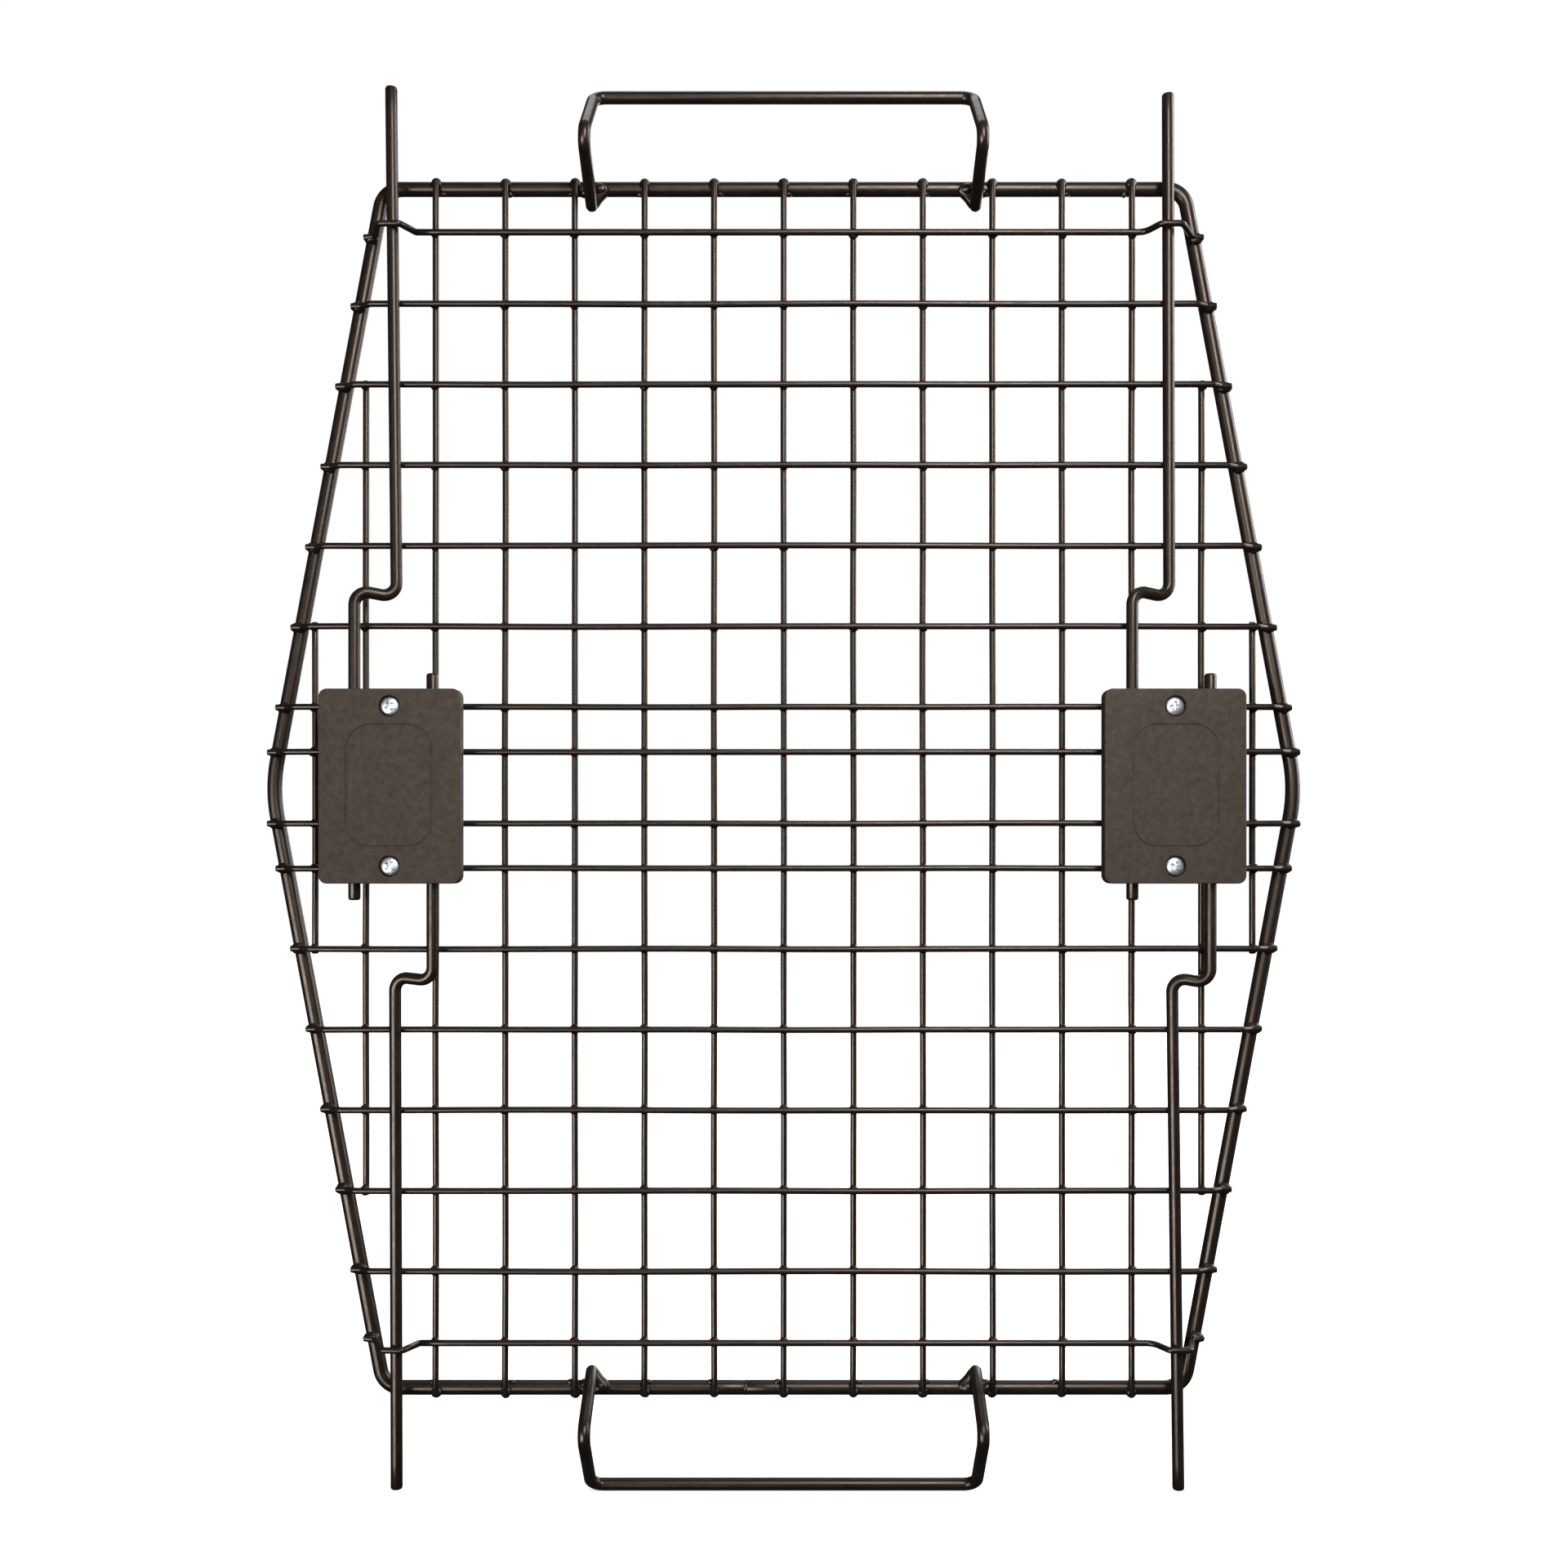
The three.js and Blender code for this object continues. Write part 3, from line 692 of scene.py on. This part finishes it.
def make_collars():
    ring = lathe("collar", [(radius * MM, height * MM) for radius, height in COLLAR_PROFILE])
    for side in SIDES:
        for half in UP:
            node = f"{side}_{half}_collar"
            place = centre(node)
            mesh = moved(ring, Matrix.Translation((place.x, place.y, low(node).z)))
            body = f"{side}_{half}_slide_rod"
            add_piece(f"{node}_ring", mesh, SPRING_STEEL, body, [node])


SPRING_TURNS = 12
SPRING_STEPS = 22           # sections in each turn
CLOSED_TURN = 0.02          # part of the spring's length taken by the closed turn at each end
SPRING_WIRE = 0.45 * MM
SPRING_RADIUS = 3.4 * MM


def coil_height(turn):
    """Height along a spring, from 0 to 1, after this many turns."""
    if turn < 1:
        return CLOSED_TURN * turn
    if turn > SPRING_TURNS - 1:
        return 1 - CLOSED_TURN * (SPRING_TURNS - turn)
    return CLOSED_TURN + (1 - 2 * CLOSED_TURN) * (turn - 1) / (SPRING_TURNS - 2)


def make_springs():
    """Coils with a closed turn at each end, centred on each rod's collar and fixed to the door."""
    for side in SIDES:
        for half in UP:
            node = f"{side}_{half}_spring"
            bottom, top = low(node).z + SPRING_WIRE, high(node).z - SPRING_WIRE
            x, y, _ = centre(f"{side}_{half}_collar")
            path = []
            for i in range(SPRING_TURNS * SPRING_STEPS + 1):
                turn = i / SPRING_STEPS
                angle = turn * 2 * math.pi
                offset = Vector((math.cos(angle), math.sin(angle), 0)) * SPRING_RADIUS
                path.append(Vector((x, y, bottom + (top - bottom) * coil_height(turn))) + offset)
            mesh = sweep(f"{node}_coil", path, SPRING_WIRE, sides=8, tip=0.1 * MM)
            piece = add_piece(f"{node}_coil", mesh, SPRING_STEEL, "door", [node])
            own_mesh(piece)


# ------------------------------------------------------------------ latch boxes


WALL = 2 * MM
COVER_CORNER = 3 * MM
POCKET_CORNER = 2 * MM
PAST = 1 * MM               # how far a cutter reaches past the surface that it cuts
EDGE = 0.55 * MM            # rounding of the cover's front edge
BOX_LEG_X = 14 * MM         # from the middle of a box to each of its two rods
NOTCH_RADIUS = 2.65 * MM    # of the half-round ways for the rods in the end walls
GROOVE = (31 * MM, 44 * MM, 9 * MM)     # width, height and corner of the shallow groove's outside
GROOVE_WIDTH = 0.8 * MM
GROOVE_DEPTH = 0.35 * MM
BOSS_WIDTH = 8 * MM         # screw bosses in the base, one towards each end
BOSS_START = 16.5 * MM
RIB_X = 13 * MM             # pressed ribs of the clamp plate
RIB_WIDTH, RIB_HEIGHT, RIB_DEPTH = 4 * MM, 42 * MM, 0.9 * MM
PLATE_EASE = 0.4 * MM

HEAD_RADIUS = 3.35 * MM
HEAD_TALL = 1.9 * MM
SHANK_RADIUS = 1.45 * MM
THREAD_STEP = 0.7 * MM
SCREW_HOLE = 1.75 * MM
SEAT_RADIUS = 3.8 * MM      # round seat in the cover, in which a screw's head sits
SEAT_WALL = 0.8 * MM
SEAT_DEPTH = 2.5 * MM


def disc(radius, back, front, z, sides=48):
    """Round cutter or post along the depth, at a height on the box's middle line."""
    angles = [2 * math.pi * i / sides for i in range(sides)]
    outline = [(radius * math.cos(angle), z + radius * math.sin(angle)) for angle in angles]
    return loft("disc", [(outline, back), (outline, front)])


def notch_bars(half_height):
    """Bars along z at the two box legs, to cut the half-round notches."""
    ends = (-half_height, half_height)
    profile = [(0, ends[0]), (NOTCH_RADIUS, ends[0]), (NOTCH_RADIUS, ends[1]), (0, ends[1])]
    bar = lathe("notch", profile, sides=32)
    places = [(out * BOX_LEG_X, -BOX_ROD_DEPTH, 0) for out in (1, -1)]
    return [moved(bar, Matrix.Translation(place)) for place in places]


def shell_mesh(node, screw_z):
    """Front half of a latch box, drawn about its own centre: eased edges, screw seats, plain rim."""
    size = high(node) - low(node)
    back, front = HOOP_Y - high(node).y, HOOP_Y - low(node).y
    width, height = size.x, size.z

    def outline(inset):
        return rounded_outline(width - 2 * inset, height - 2 * inset, COVER_CORNER - inset)

    draft = 0.05 * MM
    layers = [(outline(0.15 * MM), back), (outline(0), back + 0.3 * MM), (outline(draft), front - EDGE)]
    for i in range(1, 6):
        angle = math.pi / 2 * i / 5
        inset = draft + EDGE * (1 - math.cos(angle))
        layers.append((outline(inset), front - EDGE * (1 - math.sin(angle))))
    mesh = loft("shell", layers)
    pocket = rounded_outline(width - 2 * WALL, height - 2 * WALL, POCKET_CORNER)
    cutters = [loft("pocket", [(pocket, back - PAST), (pocket, front - WALL)])]
    wide, tall, corner = GROOVE
    groove_outer = rounded_outline(wide, tall, corner)
    groove_inner = rounded_outline(wide - 2 * GROOVE_WIDTH, tall - 2 * GROOVE_WIDTH, corner - GROOVE_WIDTH)
    groove = loft("groove", [(groove_outer, front - GROOVE_DEPTH), (groove_outer, front + PAST)])
    island = loft("island", [(groove_inner, front - 1 * MM), (groove_inner, front + 2 * MM)])
    cutters.append(cut_by(groove, [island]))
    mesh = cut_by(mesh, cutters)
    posts = [disc(SEAT_RADIUS + SEAT_WALL, back, front - 1 * MM, up * screw_z) for up in (1, -1)]
    mesh = cut_by(mesh, posts, "UNION")
    seat = front - SEAT_DEPTH
    cutters = [disc(SEAT_RADIUS, seat, front + PAST, up * screw_z) for up in (1, -1)]
    cutters += [disc(SCREW_HOLE, back - PAST, front, up * screw_z, sides=24) for up in (1, -1)]
    mesh = cut_by(mesh, cutters + notch_bars(height))
    return eased(mesh)


def base_mesh(node, cover_z, clamp_z):
    """Rear half of a latch box: a tray with a screw boss at each end."""
    size = high(node) - low(node)
    back, front = HOOP_Y - high(node).y, HOOP_Y - low(node).y
    outer = rounded_outline(size.x, size.z, COVER_CORNER)
    pocket = rounded_outline(size.x - 2 * WALL, size.z - 2 * WALL, POCKET_CORNER)
    mesh = loft("base", [(outer, back), (outer, front)])
    mesh = cut_by(mesh, [loft("pocket", [(pocket, back + WALL), (pocket, front + PAST)])])
    boss_height = size.z / 2 - 1 * MM - BOSS_START      # each boss reaches into the end wall
    bosses, holes = [], []
    for up in (1, -1):
        middle = up * (BOSS_START + boss_height / 2)
        boss = [(x, z + middle) for x, z in rounded_outline(BOSS_WIDTH, boss_height, 1 * MM)]
        bosses.append(loft("boss", [(boss, back + 0.5 * MM), (boss, front)]))
        holes.append(disc(SCREW_HOLE, back + WALL, front + PAST, up * cover_z, sides=24))
        holes.append(disc(SCREW_HOLE, back - PAST, front - WALL, up * clamp_z, sides=24))
    mesh = cut_by(mesh, bosses, "UNION")
    mesh = cut_by(mesh, holes + notch_bars(size.z))
    return eased(mesh)


def plate_mesh(node, clamp_z):
    """Plate behind the wires, with two screw holes and two pressed stiffening ribs."""
    size = high(node) - low(node)
    back, front = HOOP_Y - high(node).y, HOOP_Y - low(node).y
    outer = rounded_outline(size.x, size.z, COVER_CORNER)
    rear = rounded_outline(size.x - 2 * PLATE_EASE, size.z - 2 * PLATE_EASE, COVER_CORNER - PLATE_EASE)
    mesh = loft("plate", [(rear, back), (outer, back + PLATE_EASE), (outer, front)])
    cutters = [disc(SCREW_HOLE, back - PAST, front + PAST, up * clamp_z, sides=24) for up in (1, -1)]
    for out in (1, -1):
        rib = [(x + out * RIB_X, z) for x, z in rounded_outline(RIB_WIDTH, RIB_HEIGHT, RIB_WIDTH / 2)]
        cutters.append(loft("rib", [(rib, back - PAST), (rib, back + RIB_DEPTH)]))
    return eased(cut_by(mesh, cutters))


def eased(mesh):
    """Rounds a cut mesh's sharp edges a little and smooths the rest."""
    bevel = {"width": 0.22 * MM, "segments": 2, "limit_method": "ANGLE", "angle_limit": math.radians(38)}
    return finished(smooth(mesh), [("BEVEL", {**bevel, "harden_normals": True})])


def recess_wing():
    """One arm of the cross recess: a slot that narrows downwards into the screw's head."""
    builder = bmesh.new()
    rings = []
    for reach, half, z in ((2.2, 0.55, 0.2), (1.1, 0.35, -1.2)):
        corners = ((-reach, -half), (reach, -half), (reach, half), (-reach, half))
        rings.append([builder.verts.new((x * MM, y * MM, HEAD_TALL + z * MM)) for x, y in corners])
    for i in range(4):
        j = (i + 1) % 4
        builder.faces.new((rings[0][i], rings[0][j], rings[1][j], rings[1][i]))
    builder.faces.new(rings[0])
    builder.faces.new(rings[1])
    bmesh.ops.recalc_face_normals(builder, faces=builder.faces)
    mesh = bpy.data.meshes.new("wing")
    builder.to_mesh(mesh)
    builder.free()
    return mesh


def screw_mesh(length):
    """Pan-head screw along +Z, head underside at z = 0, with a cross recess."""
    root = SHANK_RADIUS * 0.84
    profile = [(0, -length), (SHANK_RADIUS * 0.45, -length), (SHANK_RADIUS, -length + 1.1 * MM)]
    z = -length + 1.4 * MM
    while z < -THREAD_STEP:
        profile += [(root, z), (SHANK_RADIUS, z + THREAD_STEP * 0.5)]
        z += THREAD_STEP
    profile += [(root, -0.1 * MM), (root, 0), (HEAD_RADIUS * 0.96, 0), (HEAD_RADIUS, 0.12 * MM)]
    rim = 0.6 * MM              # height at which the head's dome starts
    for i in range(7):
        angle = math.pi / 2 * i / 7
        profile.append((HEAD_RADIUS * math.cos(angle), rim + (HEAD_TALL - rim) * math.sin(angle)))
    profile.append((0, HEAD_TALL))
    mesh = lathe("screw", profile, sides=36)
    cutters = [moved(recess_wing(), Matrix.Rotation(turn, 4, "Z")) for turn in (0, math.pi / 2)]
    mesh = cut_by(mesh, cutters)
    smooth(mesh)
    mesh.set_sharp_from_angle(angle=math.radians(40))
    return mesh


def depth_of(node):
    """A node's whole extent from front to back."""
    return high(node).y - low(node).y


def make_latches():
    cover_z = centre("left_cover_screw_upper").z
    clamp_z = centre("left_clamp_screw_upper").z
    cover = shell_mesh("left_latch_cover", cover_z)
    base = base_mesh("left_latch_base", cover_z, clamp_z)
    plate = plate_mesh("left_clamp_plate", clamp_z)
    cover_screw = screw_mesh(depth_of("left_cover_screw_upper") - HEAD_TALL)
    clamp_screw = screw_mesh(depth_of("left_clamp_screw_upper") - HEAD_TALL)
    for side in SIDES:
        x = centre(f"{side}_latch_cover").x
        half_turn = Matrix.Rotation(math.pi if side == "right" else 0, 4, "Y")
        place = Matrix.Translation((x, HOOP_Y, 0)) @ half_turn
        for name, mesh in (("latch_cover", cover), ("latch_base", base), ("clamp_plate", plate)):
            node = f"{side}_{name}"
            add_piece(f"{node}_shell", moved(mesh, place), SHELL, "door", [node])
        for half in UP:
            spin = Matrix.Rotation(random.uniform(0, math.pi), 4, "Z")
            node = f"{side}_cover_screw_{half}"
            spot = Vector((x, low(node).y + HEAD_TALL, centre(node).z))
            facing = Matrix.Translation(spot) @ Matrix.Rotation(math.pi / 2, 4, "X") @ spin
            add_piece(f"{node}_turned", moved(cover_screw, facing), ZINC, "door", [node])
            node = f"{side}_clamp_screw_{half}"
            spot = Vector((x, high(node).y - HEAD_TALL, centre(node).z))
            facing = Matrix.Translation(spot) @ Matrix.Rotation(-math.pi / 2, 4, "X") @ spin
            add_piece(f"{node}_turned", moved(clamp_screw, facing), ZINC, "door", [node])


# ------------------------------------------------------------------ stage, lights and camera


ROOM_LIGHT = 0.035          # of the white that the camera sees around the object
SENSOR_WIDTH = 36           # millimetres, as is the lens
LENS = 35.967
CAMERA_DEPTH = 576 * MM
CAMERA_X = 0.12 * MM
CAMERA_Z = -23 * MM
PICTURE_CENTRE_Z = 1.6 * MM
FLOOR_HALF = 3.0
LIGHTS = (                  # name, place, point it faces, width, height and watts
    ("key_strip", (0.15, -0.62, 0.36), (0, 0, 0.1), 0.12, 0.42, 5.4),
    ("fill_box", (-0.85, -1.2, -0.4), (0, 0, 0), 1.1, 0.7, 38),
    ("rim_box", (1.5, 0.2, 0.6), (0, 0, 0), 0.8, 1.3, 28),
    ("top_box", (0, 0.45, 1.2), (0, 0, 0.2), 0.8, 0.4, 2.6),
    ("back_box", (0.7, 1.5, 0.5), (0, 0, 0), 0.9, 0.9, 10),
)


def make_camera():
    data = bpy.data.cameras.new("camera")
    data.lens = LENS
    data.sensor_width = SENSOR_WIDTH
    data.shift_y = (PICTURE_CENTRE_Z - CAMERA_Z) / CAMERA_DEPTH
    camera = bpy.data.objects.new("camera", data)
    camera.location = (CAMERA_X, HOOP_Y - CAMERA_DEPTH, CAMERA_Z)
    camera.rotation_euler = (math.pi / 2, 0, 0)
    bpy.context.collection.objects.link(camera)
    bpy.context.scene.camera = camera


def soft_light(name, place, aim, width, height, power):
    data = bpy.data.lights.new(name, "AREA")
    data.shape = "RECTANGLE"
    data.size, data.size_y, data.energy = width, height, power
    light = bpy.data.objects.new(name, data)
    light.location = place
    light.rotation_euler = (Vector(aim) - Vector(place)).to_track_quat("-Z", "Y").to_euler()
    bpy.context.collection.objects.link(light)


def make_stage():
    """Floor under the lowest wire, a white surround, and soft boxes in front, beside and above."""
    floor_z = low("bottom_stop_loop").z
    verts = [(x * FLOOR_HALF, y * FLOOR_HALF, floor_z) for x, y in ((-1, -1), (1, -1), (1, 1), (-1, 1))]
    mesh = bpy.data.meshes.new("floor")
    mesh.from_pydata(verts, [], [(0, 1, 2, 3)])
    mesh.materials.append(studio_paper("studio_paper"))
    floor = bpy.data.objects.new("floor", mesh)
    bpy.context.collection.objects.link(floor)
    floor.visible_glossy = False        # its glow shows to the camera, but doesn't light the wires
    floor.visible_diffuse = False

    world = bpy.data.worlds.new("studio")
    world.use_nodes = True
    tree = world.node_tree
    background = tree.nodes["Background"]
    background.inputs["Color"].default_value = (1, 1, 1, 1)
    strength = tree.nodes.new("ShaderNodeMapRange")
    strength.inputs["To Min"].default_value = ROOM_LIGHT
    strength.inputs["To Max"].default_value = 1.0
    seen = tree.nodes.new("ShaderNodeLightPath").outputs["Is Camera Ray"]
    tree.links.new(seen, strength.inputs["Value"])
    tree.links.new(strength.outputs["Result"], background.inputs["Strength"])
    bpy.context.scene.world = world
    bpy.context.scene.view_settings.view_transform = "Standard"

    for light in LIGHTS:
        soft_light(*light)


make_camera()
make_stage()
make_hoop()
make_uprights()
make_cross_wires()
make_guide_wires()
make_stop_loops()
make_mesh_welds()
make_hoop_welds()
make_loop_welds()
make_rods()
make_collars()
make_springs()
make_latches()
